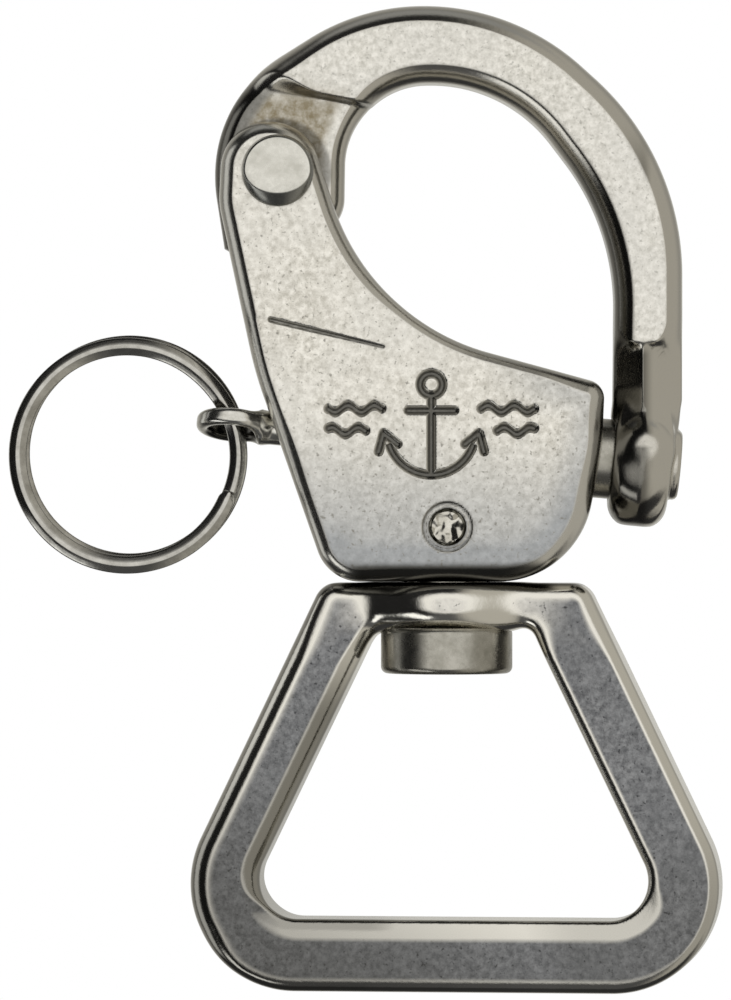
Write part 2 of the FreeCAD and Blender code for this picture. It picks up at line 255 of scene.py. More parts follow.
def body_field(x, y, z):
    """The body: soft rims, the engraving and the cut, the fork's slot and the bores."""
    low = smooth_step(52.0, 42.0, z)
    left = smooth_step(-9.0, -14.0, x)
    corner = smooth_step(6.5, 1.5, np.hypot(x - 15.4, z - 53.0))
    right = smooth_step(9.0, 14.0, x)
    throat = smooth_step(-9.5, -4.0, x) * smooth_step(50.0, 54.0, z)
    radius = 3.0 - 0.9 * low * (1 - right) - 0.9 * throat + 0.6 * corner + 0.1 * left
    tilt = 33.0 - 25.0 * low * (1 - 0.5 * right) - 4.0 * throat
    depth = BODY.depth(x, z)
    lower = 0.10 * smooth_step(0.35, -0.35, z - (60.0 - 0.235 * (x + 17.7))) * smooth_step(-4.5, -9.0, x)
    engraved = np.clip(0.52 - anchor_mark(x, z), 0, 0.4) * 1.05 * (y < 0)
    f = rim(depth, y, BODY_HALF_DEPTH, radius, tilt)
    f = smooth_max(f, np.abs(y) - BODY_HALF_DEPTH + lower, 0.14)
    f = smooth_max(f, (np.abs(y) - BODY_HALF_DEPTH + lower + engraved) * 0.8, 0.06)
    f = np.maximum(f, np.where(y < 0, np.abs(y) - BODY_HALF_DEPTH + lower + crease(x, z), -9.0))
    from_hinge = np.hypot(x - HINGE[0], z - HINGE[2])
    f = smooth_max(f, -np.maximum(from_hinge - 9.7, np.abs(y) - 3.5), 0.5)
    f = np.maximum(f, 2.5 - from_hinge)
    along, radial = on_plunger(x, y, z)
    f = smooth_max(f, -np.maximum(radial - 4.06, -13.6 - along), 0.3)
    f = np.maximum(f, 1.73 - radial - 50 * (along > 0))
    f = smooth_max(f, -np.maximum(radial - 2.1, along + 18.6), 0.25)
    f = np.maximum(f, -np.maximum(np.hypot(x, y) - 4.0, z - 42.3))
    from_pin = np.hypot(x, z - CROSS_PIN_Z)
    f = np.maximum(f, np.abs(y) - BODY_HALF_DEPTH + 0.25 * smooth_step(0.30, 0.05, np.abs(from_pin - 2.3)))
    return smooth_max(f, 1.8 - from_pin, 0.1)


def neck_limit(x, y):
    """The jaw narrows to a ridge down its front and back between the flat of the arm and the eye."""
    off = x - EYE_MIDDLE
    fall = 0.95 * np.maximum(-off, 0) + 0.74 * np.maximum(off, 0)
    return (np.abs(y) - 4.45 + np.sqrt(fall * fall + 0.002) - 0.04) * 0.76


def jaw_field(x, y, z):
    """The jaw: a curved arm, the thin tang at the hinge, the neck, and the eye with its boss."""
    depth = JAW.depth(x, z)
    shoulder = above_shoulder(x, z)
    soft = smooth_step(-12.5, -17.5, x)
    tang = smooth_step(0.15 + 1.6 * soft, -0.4 - 0.5 * soft, shoulder) * (x < -4.0)
    half = JAW_HALF_DEPTH - (JAW_HALF_DEPTH - TANG_HALF_DEPTH) * tang
    outward = np.hypot(x - THROAT_CENTRE[0], (z - THROAT_CENTRE[1]) * 0.9)
    outer = smooth_step(15.0, 18.5, outward)
    knuckle = smooth_step(-12.0, -20.0, x) * outer
    below = smooth_step(3.0, -3.5, shoulder) * (x < -4.0)
    radius = 3.7 + 0.2 * outer - 0.8 * below + 0.9 * knuckle * (1 - below)
    tilt = 29.0 + 4.0 * outer
    f = rim(depth, y, half, radius, tilt)
    f = smooth_max(f, np.abs(y) - half, 0.16)
    reach = 0.45 + 2.6 * smooth_step(20.8, 22.6, x) + 1.2 * smooth_step(18.2, 17.0, x)
    blend = smooth_step(57.5 + reach, 57.5 - reach, z) * (x > 12.0)
    f = f + blend * (smooth_max(f, neck_limit(x, y), 0.45) - f)
    along, radial = on_plunger(x, y, z)
    off = along - EYE_MIDDLE
    drum = rounded_drum(radial, off, 6.6, 2.95, 2.3)
    ridge = 0.55 * smooth_step(2.0, 4.6, np.abs(y))
    roof = (radial - 6.5 + ridge * np.sqrt(off * off + 0.01)) * 0.88
    knob = np.sqrt((x - 19.9) ** 2 + (np.abs(y) - 3.6) ** 2 + (z - 47.2) ** 2) - 2.8
    bulb = np.sqrt((x - 19.0) ** 2 + (np.abs(y) - 2.75) ** 2 + (z - 44.3) ** 2) - 3.25
    bulb = smooth_max(bulb, np.abs(off) - 2.8, 0.9)
    eye = smooth_min(smooth_min(smooth_max(drum, roof, 0.25), bulb, 0.7), knob, 0.7)
    f = smooth_min(f, eye, 1.0)
    boss = rounded_drum(radial, along - 21.0, 3.5, 2.5, 0.5)
    f = smooth_min(f, boss, 0.4)
    f = np.maximum(f, 2.55 - np.hypot(x - HINGE[0], z - HINGE[2]))
    return smooth_max(f, -np.maximum(radial - 4.15, along - 21.0), 0.35)


def bail_field(x, y, z):
    """The bail: a rounded triangular frame, turned a little on the stud, with a boss in its top bar."""
    c, s = math.cos(BAIL_TURN), math.sin(BAIL_TURN)
    u = x * c + y * s - BAIL_OFFSET
    v = -x * s + y * c
    high = smooth_step(25.5, 31.5, z)
    low = smooth_step(4.5, 0.5, z)
    right = smooth_step(-2.0, 4.0, u)
    outer_depth = BAIL_OUTER.depth(u, z)
    inner_depth = -BAIL_INNER.depth(u, z)
    outer_radius = (2.9 - 1.1 * np.maximum(right, smooth_step(-1.0, -5.5, z))) * (1 - high) + 2.7 * high
    inner_radius = (2.7 - 1.4 * np.maximum(right, low)) * (1 - high) + 2.7 * high
    outer = rim(outer_depth, v, BAIL_HALF_DEPTH, outer_radius, 13.0 * (1 - high))
    inner = rim(inner_depth, v, BAIL_HALF_DEPTH, inner_radius, 12.0 * (1 - high))
    bevel = 0.30 * np.maximum(1.0 + 1.25 * low - inner_depth, 0) * np.maximum(right, low)
    under = 0.25 * np.maximum(1.5 - outer_depth, 0) * smooth_step(-2.0, -5.0, z)
    faces = np.abs(v) - BAIL_HALF_DEPTH + (bevel + under) * (1 - high)
    f = smooth_max(smooth_max(outer, inner, 0.3 + 0.9 * high), faces, 0.16 + 0.7 * high)
    radial = np.hypot(x, y)
    boss = rounded_drum(radial, z - 31.55, 6.8, 2.15, 1.9)
    f = smooth_min(f, boss, 3.2)
    f = smooth_max(f, z - BAIL_TOP, 0.3)
    return smooth_max(f, 4.1 - radial - 50 * (z < 20), 0.25)


# How each casting's surface is stained and shaded, as three 0 to 1 channels: brown film, dark film with
# painted shade, and a polished colour that on the body is painted shade.

def body_tone(x, y, z):
    depth = BODY.depth(x, z)
    film = 0.4 * smooth_step(4.5, 2.0, np.hypot(x - HINGE[0] - 5.0, z - HINGE[2] - 5.0)) * (np.abs(y) < 6.0)
    groove = smooth_step(0.5, 0.2, anchor_mark(x, z)) * (y < 0)
    # Painted shade along the fine cut across the face.
    cut = smooth_step(0.30, 0.10, from_cut(x, z)) * (y < 0)
    from_pin = np.hypot(x, z - CROSS_PIN_Z)
    outer_ring = smooth_step(0.22, 0.08, np.abs(from_pin - 2.42))
    inner_ring = smooth_step(0.20, 0.06, np.abs(from_pin - 1.85))
    ring = np.maximum(outer_ring, inner_ring)
    # Painted shade on the body's bottom rim, where it sits over the bail.
    foot_shade = 0.96 * smooth_step(36.2, 35.2, z) * smooth_step(2.3, 1.4, depth) * smooth_step(13.0, 9.0, x)
    foot_shade = foot_shade * smooth_step(-11.5, -8.5, x)
    # Painted shade: the body's face darkens towards the bottom, and more near its right and lower rims.
    edge = smooth_step(5.5, 1.5, depth) * np.maximum(smooth_step(2, 12, x), smooth_step(41.0, 36.0, z))
    lower_shade = 0.72 * smooth_step(51.0, 36.5, z + 0.06 * x) + 0.5 * edge
    return film, np.maximum.reduce([0.9 * groove, 0.85 * cut, 0.75 * ring, foot_shade]), np.clip(lower_shade, 0, 1)


def jaw_tone(x, y, z):
    depth = JAW.depth(x, z)
    shoulder = above_shoulder(x, z)
    from_hinge = np.hypot(x - HINGE[0], z - HINGE[2])
    near = smooth_step(13.5, 5.2, from_hinge)
    film = smooth_step(1.6, -1.2, shoulder + 0.25 * np.maximum(-14.5 - x, 0))
    film = film * (0.45 + 0.55 * near) * (x < -4.0) * smooth_step(1.7, 2.9, depth)
    # Painted shade along the shoulder where the jaw steps down to its tang.
    line = 0.4 * smooth_step(0.4, 0.1, np.abs(shoulder + 0.1)) * smooth_step(-16.5, -12.5, x) * (x < -7.0)
    # Painted shadow in a ring round the body's ear, on the tang below it.
    ear_shadow = 0.6 * smooth_step(5.55, 5.15, from_hinge) * (x < -4.0)
    # Painted shade on the left of the neck and eye, left off where the bulb's and knob's highlights fall.
    tip = 0.78 * smooth_step(57.6, 56.4, z) * smooth_step(20.7, 19.3, x) * (x > 12)
    on_bulb = smooth_step(2.0, 1.4, np.hypot(x - 18.9, z - 44.2))
    on_knob = smooth_step(1.5, 1.0, np.hypot(x - 19.9, z - 47.3))
    tip = tip * (1 - 0.97 * np.maximum(on_bulb, on_knob))
    # Painted shade on the jaw's outer left rim below the shoulder.
    side = 0.75 * smooth_step(3.0, 2.0, depth) * (x < -14) * smooth_step(1.0, -1.5, shoulder)
    # Painted shade on the throat's rim on the right side of the jaw.
    inner = 0.72 * smooth_step(2.0, 1.7, depth) * smooth_step(20.5, 19.5, x) * (x > 8)
    inner = inner * smooth_step(80, 72, z)
    return film, np.maximum.reduce([line, ear_shadow, tip, inner, side]), smooth_step(57.8, 56.8, z)


def bail_tone(x, y, z):
    middle = smooth_step(13.0, 6.0, np.abs(x))
    # The bail's faces are darker towards the lower left.
    low_left_darkening = 0.55 * smooth_step(20.0, -6.0, z + 0.6 * (x + 16))
    # Painted shade along the top of the bar, under the body.
    top = 0.85 * smooth_step(33.25, 33.6, z)
    # Painted shade on the outer rim of the left leg.
    flank_shade = 0.6 * smooth_step(1.4, 0.7, BAIL_OUTER.depth(x, z)) * smooth_step(-4.0, -9.0, x)
    # Painted shade on the inner rim of the left leg and lower left.
    inside = 0.6 * smooth_step(1.6, 0.9, -BAIL_INNER.depth(x, z)) * smooth_step(-2.0, -8.0, x)
    inside = inside * smooth_step(27.5, 20.0, z)
    corner = 0.3 * smooth_step(12.0, 0.0, z) * smooth_step(4.0, 14.0, x)
    dark = np.maximum.reduce([low_left_darkening, top, flank_shade, inside, corner])
    return np.zeros_like(x), dark, smooth_step(28.0, 30.5, z) * middle


def fine_copy(node, name, voxel):
    """An evenly remeshed copy of a CAD node, as a new object."""
    mesh = frame["nodes"][node].data.copy()
    rough = bpy.data.objects.new(name + "_rough", mesh)
    bpy.context.scene.collection.objects.link(rough)
    remesh = rough.modifiers.new("Remesh", "REMESH")
    remesh.mode = "VOXEL"
    remesh.voxel_size = voxel
    evaluated = rough.evaluated_get(bpy.context.evaluated_depsgraph_get())
    fine = bpy.data.meshes.new_from_object(evaluated)
    bpy.data.objects.remove(rough)
    piece = bpy.data.objects.new(name, fine)
    fine.name = name
    fine.materials.clear()
    bpy.context.scene.collection.objects.link(piece)
    return piece


def read_points(mesh):
    points = np.empty(len(mesh.vertices) * 3)
    mesh.vertices.foreach_get("co", points)
    return points.reshape(-1, 3)


def write_points(mesh, points):
    mesh.vertices.foreach_set("co", points.ravel())
    mesh.update()


def smooth_points(mesh, points, rounds, strength=0.5):
    """Moves each point towards the middle of its neighbours, a few times."""
    edges = np.empty(len(mesh.edges) * 2, int)
    mesh.edges.foreach_get("vertices", edges)
    a, b = edges.reshape(-1, 2).T
    count = np.bincount(a, minlength=len(points)) + np.bincount(b, minlength=len(points))
    for _ in range(rounds):
        total = np.empty_like(points)
        for axis in range(3):
            column = points[:, axis]
            total[:, axis] = np.bincount(a, column[b], len(points)) + np.bincount(b, column[a], len(points))
        points = points + strength * (total / count[:, None] - points)
    return points


def onto_field(points, field, rounds):
    """Newton steps that bring points, in millimetres, on to the surface where the field is zero."""
    step = 0.004
    for _ in range(rounds):
        x, y, z = points.T
        value = field(x, y, z)
        slope = np.stack(
            [
                (field(x + step, y, z) - value) / step,
                (field(x, y + step, z) - value) / step,
                (field(x, y, z + step) - value) / step,
            ],
            axis=1,
        )
        size = np.maximum((slope**2).sum(1), 0.25)
        move = -value / size
        points = points + slope * np.clip(move, -0.25, 0.25)[:, None]
    return points


def settle(mesh, points, field):
    """Evens out the few points that are still off the surface, where three blends meet in a kink."""
    for _ in range(12):
        off = np.abs(field(*points.T)) > 0.03
        points[off] = smooth_points(mesh, points, 1, 0.9)[off]
    return points


def pits(points, count, low, high, half_depth, seed):
    """Shallow random casting pits in the faces, as how deep each point sinks."""
    draw = np.random.default_rng(seed)
    sink = np.zeros(len(points))
    on_face = np.abs(points[:, 1]) > half_depth - 0.25
    for _ in range(count):
        x = draw.uniform(low[0], high[0])
        z = draw.uniform(low[1], high[1])
        side = draw.choice((-1, 1))
        size = draw.uniform(0.22, 0.5)
        deep = draw.uniform(0.02, 0.07)
        near = np.hypot(points[:, 0] - x, points[:, 2] - z) / size
        sink += np.where(on_face & (points[:, 1] * side > 0), deep * np.exp(-near * near * 2), 0)
    return sink


def paint_tone(mesh, points, tone):
    """Stores how the surface is stained and where shade is painted, for its material to read."""
    colours = np.ones((len(points), 4))
    colours[:, :3] = np.stack(tone(*points.T), axis=1)
    layer = mesh.color_attributes.new("tone", "FLOAT_COLOR", "POINT")
    layer.data.foreach_set("color", colours.ravel())


def refine(mesh, near_detail):
    """Splits the edges that lie in a region of fine detail."""
    fine = bmesh.new()
    fine.from_mesh(mesh)
    fine.verts.ensure_lookup_table()
    points = np.array([vertex.co for vertex in fine.verts]) / MM
    chosen = near_detail(*points.T)
    edges = [edge for edge in fine.edges if chosen[edge.verts[0].index] and chosen[edge.verts[1].index]]
    bmesh.ops.subdivide_edges(fine, edges=edges, cuts=1, use_grid_fill=True)
    bmesh.ops.triangulate(fine, faces=[face for face in fine.faces if len(face.verts) > 4])
    fine.to_mesh(mesh)
    fine.free()


def body_marks(x, y, z):
    """The engraving and the cut in the body's front, where its mesh is split finest."""
    return (y < -5.6) & ((anchor_mark(x, z) < 0.7) | (from_cut(x, z) < 0.5))


def body_detail(x, y, z):
    """Where the body's mesh is split finer: its rims, the engraving, the cut and the cross pin."""
    depth = BODY.depth(x, z)
    rims = (depth < 3.0) & (depth > 0.3) & (np.abs(y) > 4.6)
    pin = (np.abs(y) > 6.0) & (np.abs(np.hypot(x, z - CROSS_PIN_Z) - 2.2) < 0.6)
    return rims | body_marks(x, y, z) | pin


def casting(node, name, field, tone, voxel, body, pit_count, half_depth, details=()):
    """A CAD node's visible stand-in: remeshed, moved onto its field, pitted, stained and given painted
    shade.
    """
    piece = fine_copy(node, name, voxel * MM)
    mesh = piece.data
    points = read_points(mesh) / MM
    points = smooth_points(mesh, points, 3)
    points = onto_field(points, field, 10)
    for near_detail in details:
        write_points(mesh, points * MM)
        refine(mesh, near_detail)
        points = onto_field(read_points(mesh) / MM, field, 2)
    points = smooth_points(mesh, points, 2, 0.3)
    points = settle(mesh, onto_field(points, field, 3), field)
    low, high = points.min(0), points.max(0)
    sink = pits(points, pit_count, (low[0], low[2]), (high[0], high[2]), half_depth, SEED + pit_count)
    points[:, 1] -= np.sign(points[:, 1]) * sink
    write_points(mesh, points * MM)
    paint_tone(mesh, points, tone)
    mesh.shade_smooth()
    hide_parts(node)
    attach(piece, body)
    return piece


body = casting(
    "shackle_body", "cast_shackle_body", body_field, body_tone, 0.345, "shackle", 70,
    6.5, (body_detail, body_marks),
)
jaw = casting("jaw", "cast_jaw", jaw_field, jaw_tone, 0.21, "gate", 60, JAW_HALF_DEPTH)
bail = casting(
    "bail", "cast_bail", bail_field, bail_tone, 0.24, "webbing_bail", 61, NO_PITS
)


# ---------------------------------------------------------------- small pieces

def skin(name, rows):
    """A closed tube from rows of points, each row a ring of the same length."""
    count = len(rows[0])
    points = [tuple(point) for row in rows for point in row]
    faces = []
    for r in range(len(rows) - 1):
        for i in range(count):
            j = (i + 1) % count
            faces.append((r * count + i, r * count + j, (r + 1) * count + j, (r + 1) * count + i))
    faces.append(tuple(reversed(range(count))))
    faces.append(tuple((len(rows) - 1) * count + i for i in range(count)))
    mesh = bpy.data.meshes.new(name)
    mesh.from_pydata([(x * MM, y * MM, z * MM) for x, y, z in points], [], faces)
    mesh.validate()
    fix = bmesh.new()
    fix.from_mesh(mesh)
    bmesh.ops.recalc_face_normals(fix, faces=fix.faces)
    fix.to_mesh(mesh)
    fix.free()
    mesh.shade_smooth()
    piece = bpy.data.objects.new(name, mesh)
    bpy.context.scene.collection.objects.link(piece)
    return piece


def riveted_pin():
    """The hinge rivet. Each hammered head is flat on top and bevelled most on its lower side."""
    levels = [
        (2.5, 6.3, 1), (3.3, 6.32, 1), (3.56, 6.5, 1), (3.58, 6.75, 1), (3.56, 6.93, 1), (3.50, 7.15, 0.97),
        (3.42, 7.50, 0.80), (3.36, 7.70, 0.72), (3.18, 7.8, 0.70), (1.5, 7.78, 0.70), (0.4, 7.76, 0.70),
    ]
    profile = [(r, -y, lower) for r, y, lower in reversed(levels)] + levels
    count = 128
    rows = []
    for radius, y, lower in profile:
        row = []
        for i in range(count):
            turn = 2 * math.pi * i / count
            rise = radius * math.sin(turn)
            if rise < 0:
                rise *= lower
            row.append((HINGE[0] + radius * math.cos(turn), y, HINGE[2] + rise))
        rows.append(row)
    pin = skin("hinge_rivet", rows)
    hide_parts("hinge_pin")
    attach(pin, "shackle")
    return pin


RING_CENTRE = (-32.1, 46.45)
RING_RADIUS = 10.95
RING_END_DEG = -19.0


def coiled_ring():
    """The split ring: nearly two turns of ridged wire, stepping from front to back at the right."""
    half_width = 0.9
    turns = 1.9
    section = []
    for i in range(24):
        a = 2 * math.pi * i / 24
        u = half_width * math.cos(a)
        crown = 0.61 - 0.60 * math.sqrt(u * u + 0.008)
        section.append((u, crown * math.copysign(min(1.0, abs(math.sin(a)) * 3), math.sin(a))))
    steps = 560
    rows = []
    for k in range(steps + 1):
        t = turns * k / steps
        theta = math.radians(RING_END_DEG) - 2 * math.pi * t
        shift = float(smooth_step(0.80, 0.985, t))
        side = -0.555 + 1.11 * shift
        shrink = min(1.0, 0.55 + 0.45 * min(t, turns - t) / 0.012)
        row = []
        for u, w in section:
            r = RING_RADIUS + u * shrink
            x = RING_CENTRE[0] + 0.27 * shift + r * math.cos(theta)
            row.append((x, side + w * shrink, RING_CENTRE[1] + 0.24 * shift + r * math.sin(theta)))
        rows.append(row)
    ring = skin("split_ring_coil", rows)
    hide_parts("split_ring")
    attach(ring, "ring")
    return ring


def compressing_spring():
    """The coil spring round the rod, copied as it is from the CAD's spring."""
    piece = bpy.data.objects.new("coil_spring", frame["nodes"]["plunger_spring"].data.copy())
    bpy.context.scene.collection.objects.link(piece)
    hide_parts("plunger_spring")
    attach(piece, "shackle")
    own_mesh(piece)
    return piece


EYE_CENTRE = -21.6
EYE_TILT = math.radians(-16.0)
ROD_RADIUS = 1.65
ROD_END = 13.0


def pull_field(x, y, z):
    """The pull eye: a flat tilted ring, a flattened neck and the rod that goes into the body."""
    along, radial = on_plunger(x, y, z)
    lift = x * -SLIDE[2] + (z - PLUNGER_CROSSING_Z) * SLIDE[0]
    off = along - EYE_CENTRE
    up = lift * math.cos(EYE_TILT) - y * math.sin(EYE_TILT)
    across = y * math.cos(EYE_TILT) + lift * math.sin(EYE_TILT)
    from_eye = np.hypot(off, across)
    disc = rounded_drum(from_eye, up, 3.6, 0.85, 0.6)
    shank = np.maximum(radial - ROD_RADIUS, np.maximum(EYE_CENTRE + 3.0 - along, along - ROD_END))
    neck = 1.6 * (((lift / 1.62) ** 4 + (y / 2.0) ** 4) ** 0.25 - 1)
    neck = smooth_max(neck, np.maximum(EYE_CENTRE + 2.4 - along, along + 18.3), 1.2)
    stem = smooth_min(shank, neck, 0.8)
    return smooth_max(smooth_min(disc, stem, 1.1), 2.3 - from_eye, 0.6)


def pull_tone(x, y, z):
    from_eye = np.hypot(on_plunger(x, y, z)[0] - EYE_CENTRE, y)
    # Painted shade round the inside of the eye's hole.
    hole = 0.9 * smooth_step(2.75, 2.45, from_eye)
    return np.zeros_like(x), hole, np.zeros_like(x)


pull = casting(
    "pull_eye", "forged_pull_eye", pull_field, pull_tone, 0.13, "bolt", 1, NO_PITS
)
rivet = riveted_pin()
coil = coiled_ring()
spring = compressing_spring()


# ---------------------------------------------------------------- materials

class Nodes:
    """A small helper for building a material's node tree."""

    def __init__(self, name):
        self.material = bpy.data.materials.new(name)
        self.material.use_nodes = True
        self.tree = self.material.node_tree
        self.shader = self.tree.nodes["Principled BSDF"]

    def add(self, kind, **settings):
        node = self.tree.nodes.new("ShaderNode" + kind)
        for key, value in settings.items():
            if hasattr(node, key):
                setattr(node, key, value)
            else:
                node.inputs[key.replace("_", " ")].default_value = value
        return node

    def link(self, source, target):
        self.tree.links.new(source, target)

    def noise(self, scale, detail=4.0, roughness=0.6):
        if not hasattr(self, "place"):
            self.place = self.add("TexCoord").outputs["Object"]
        node = self.add("TexNoise", Scale=scale, Detail=detail, Roughness=roughness)
        self.link(self.place, node.inputs["Vector"])
        return node.outputs["Fac"]

    def spread(self, value, from_low, from_high, to_low, to_high):
        node = self.add("MapRange", clamp=True)
        for name, number in (
            ("From Min", from_low), ("From Max", from_high), ("To Min", to_low), ("To Max", to_high),
        ):
            node.inputs[name].default_value = number
        self.link(value, node.inputs["Value"])
        return node.outputs["Result"]

    def mix(self, factor, a, b):
        node = self.add("Mix", data_type="RGBA")
        self.link(factor, node.inputs[0])
        for socket, colour in ((node.inputs[6], a), (node.inputs[7], b)):
            if isinstance(colour, tuple):
                socket.default_value = (*colour, 1)
            else:
                self.link(colour, socket)
        return node.outputs[2]

    def blend(self, factor, a, b):
        node = self.add("Mix", data_type="FLOAT")
        self.link(factor, node.inputs[0])
        for socket, value in ((node.inputs[2], a), (node.inputs[3], b)):
            if isinstance(value, (int, float)):
                socket.default_value = value
            else:
                self.link(value, socket)
        return node.outputs[0]

    def facing(self, low, high):
        """1 where the surface faces the front or the back, 0 on its rims and walls."""
        geometry = self.add("NewGeometry")
        split = self.add("SeparateXYZ")
        self.link(geometry.outputs["Normal"], split.inputs[0])
        size = self.add("Math", operation="ABSOLUTE")
        self.link(split.outputs["Y"], size.inputs[0])
        return self.spread(size.outputs[0], low, high, 0.0, 1.0)

    def bump(self, heights):
        """Stacks (height, distance in metres, strength) bumps on the shader's normal."""
        last = None
        for height, distance, strength in heights:
            node = self.add("Bump", Strength=strength, Distance=distance)
            self.link(height, node.inputs["Height"])
            if last:
                self.link(last, node.inputs["Normal"])
            last = node.outputs["Normal"]
        self.link(last, self.shader.inputs["Normal"])


BROWN_FILM = (0.31, 0.26, 0.165)
DARK_FILM_AND_SHADE = (0.07, 0.068, 0.06)


def cast_steel(name, face, face_dark, patch, polish_and_shade_colour, rim_colour, face_rough, rim_rough, speck,
               flat=(0.90, 0.985)):
    """Tumbled casting: mottled satin faces, smoother rims, stained recesses, painted shade from the tone,
    fine grain and specks.
    """
    n = Nodes(name)
    n.shader.inputs["Metallic"].default_value = 1.0
    tone = n.add("Attribute", attribute_name="tone")
    split = n.add("SeparateColor")
    n.link(tone.outputs["Color"], split.inputs[0])
    brown, dark, polish_and_shade = split.outputs
    facing = n.facing(*flat)
    broad = n.spread(n.noise(80, 3), 0.35, 0.65, 0, 1)
    mottle = n.spread(n.noise(1500, 5, 0.75), 0.36, 0.66, 0, 1)
    specks = n.spread(n.noise(2600, 2, 0.5), 0.62, 0.74, 0, speck)
    colour = n.mix(mottle, face, face_dark)
    colour = n.mix(n.spread(broad, 0, 1, 0, 0.5), colour, patch)
    # The third tone channel: the jaw's tip and the bail's top bar take a polished colour here; the body
    # takes a darker copy of its face, painted shade towards the bottom and along its right and lower rims.
    colour = n.mix(polish_and_shade, colour, n.mix(mottle, polish_and_shade_colour, tuple(c * 0.84 for c in polish_and_shade_colour)))
    colour = n.mix(specks, colour, tuple(c * 0.45 for c in face_dark))
    colour = n.mix(facing, rim_colour, colour)
    patchy = n.spread(n.noise(620, 5, 0.7), 0.36, 0.62, 0.35, 1.0)
    stain = n.add("Math", operation="MULTIPLY")
    n.link(brown, stain.inputs[0])
    n.link(patchy, stain.inputs[1])
    colour = n.mix(stain.outputs[0], colour, BROWN_FILM)
    # The dark channel darkens engraving and joints, and paints shade into gaps, steps and rims.
    colour = n.mix(dark, colour, DARK_FILM_AND_SHADE)
    n.link(colour, n.shader.inputs["Base Color"])
    grain = n.spread(mottle, 0, 1, face_rough - 0.05, face_rough + 0.07)
    rough = n.blend(facing, rim_rough, grain)
    n.link(n.blend(stain.outputs[0], rough, 0.55), n.shader.inputs["Roughness"])
    fine = n.noise(2200, 4, 0.65)
    wide = n.noise(420, 3, 0.5)
    n.bump([(wide, 0.00005, 0.25), (fine, 0.00003, 0.4)])
    return n.material


def worn_steel(name, colour, dark, rough, streak=0.12, waves=0.0, wave_scale=520, flank_shade=None):
    """Turned or drawn steel with a little wear, and dents where it was hammered. Its flanks and the tone's
    dark channel carry painted shade.
    """
    n = Nodes(name)
    n.shader.inputs["Metallic"].default_value = 1.0
    wear = n.spread(n.noise(620, 5, 0.7), 0.35, 0.7, 0, 1)
    tone = n.add("Attribute", attribute_name="tone")
    split = n.add("SeparateColor")
    n.link(tone.outputs["Color"], split.inputs[0])
    colour = n.mix(wear, colour, dark)
    # Painted shade: surfaces that don't face the front or back take a darker colour.
    if flank_shade:
        colour = n.mix(n.facing(0.88, 0.97), flank_shade, colour)
    # The tone's dark channel darkens the colour; on the pull eye it is painted shade round its hole.
    n.link(n.mix(split.outputs[1], colour, (0.05, 0.048, 0.04)), n.shader.inputs["Base Color"])
    n.link(n.spread(wear, 0, 1, rough, rough + streak), n.shader.inputs["Roughness"])
    bumps = [(n.noise(1500, 4, 0.6), 0.00002, 0.3)]
    if waves:
        bumps.insert(0, (n.noise(wave_scale, 2, 0.5), waves, 1.0))
    n.bump(bumps)
    return n.material


def dress(obj, material):
    obj.data.materials.clear()
    obj.data.materials.append(material)


body_steel = cast_steel(
    "cast_body_steel", face=(0.96, 0.935, 0.87), face_dark=(0.58, 0.555, 0.49),
    patch=(0.82, 0.81, 0.77), polish_and_shade_colour=(0.44, 0.455, 0.468), rim_colour=(0.66, 0.645, 0.60),
    face_rough=0.40, rim_rough=0.2, speck=0.8,
)
jaw_steel = cast_steel(
    "cast_jaw_steel", face=(0.92, 0.90, 0.845), face_dark=(0.60, 0.585, 0.53),
    patch=(0.78, 0.77, 0.74), polish_and_shade_colour=(0.70, 0.68, 0.62), rim_colour=(0.62, 0.60, 0.55),
    face_rough=0.38, rim_rough=0.17, speck=0.5,
)
bail_steel = cast_steel(
    "cast_bail_steel", face=(0.29, 0.295, 0.305), face_dark=(0.115, 0.118, 0.125),
    patch=(0.18, 0.185, 0.193), polish_and_shade_colour=(0.80, 0.78, 0.73), rim_colour=(0.78, 0.76, 0.70),
    face_rough=0.36, rim_rough=0.13, speck=0.9, flat=(0.962, 0.99),
)
turned = worn_steel("turned_steel", (0.47, 0.455, 0.41), (0.31, 0.30, 0.26), 0.22)
headed = worn_steel(
    "rivet_steel", (0.74, 0.73, 0.68), (0.56, 0.55, 0.50), 0.22, 0.10, waves=0.00004,
    flank_shade=(0.30, 0.30, 0.28),
)
staked = worn_steel(
    "staked_pin_steel", (0.74, 0.72, 0.66), (0.46, 0.44, 0.38), 0.2, 0.10, waves=0.0032, wave_scale=340,
    flank_shade=(0.16, 0.155, 0.13),
)
forged = worn_steel("forged_eye_steel", (0.80, 0.79, 0.75), (0.50, 0.49, 0.44), 0.14, 0.10)
polished = worn_steel("polished_steel", (0.60, 0.59, 0.555), (0.38, 0.37, 0.34), 0.12, 0.08)
wire = worn_steel("spring_wire_steel", (0.6, 0.6, 0.59), (0.45, 0.45, 0.44), 0.25)
for piece, material in (
    (body, body_steel), (jaw, jaw_steel), (bail, bail_steel), (rivet, headed), (coil, polished),
    (pull, forged), (spring, wire),
):
    dress(piece, material)
for node, material in (("plunger", turned), ("swivel_stud", turned), ("cross_pin", staked)):
    for index in range(max(1, len(frame["nodes"][node].material_slots))):
        frame["nodes"][node].material_slots[index].material = material


# ---------------------------------------------------------------- studio

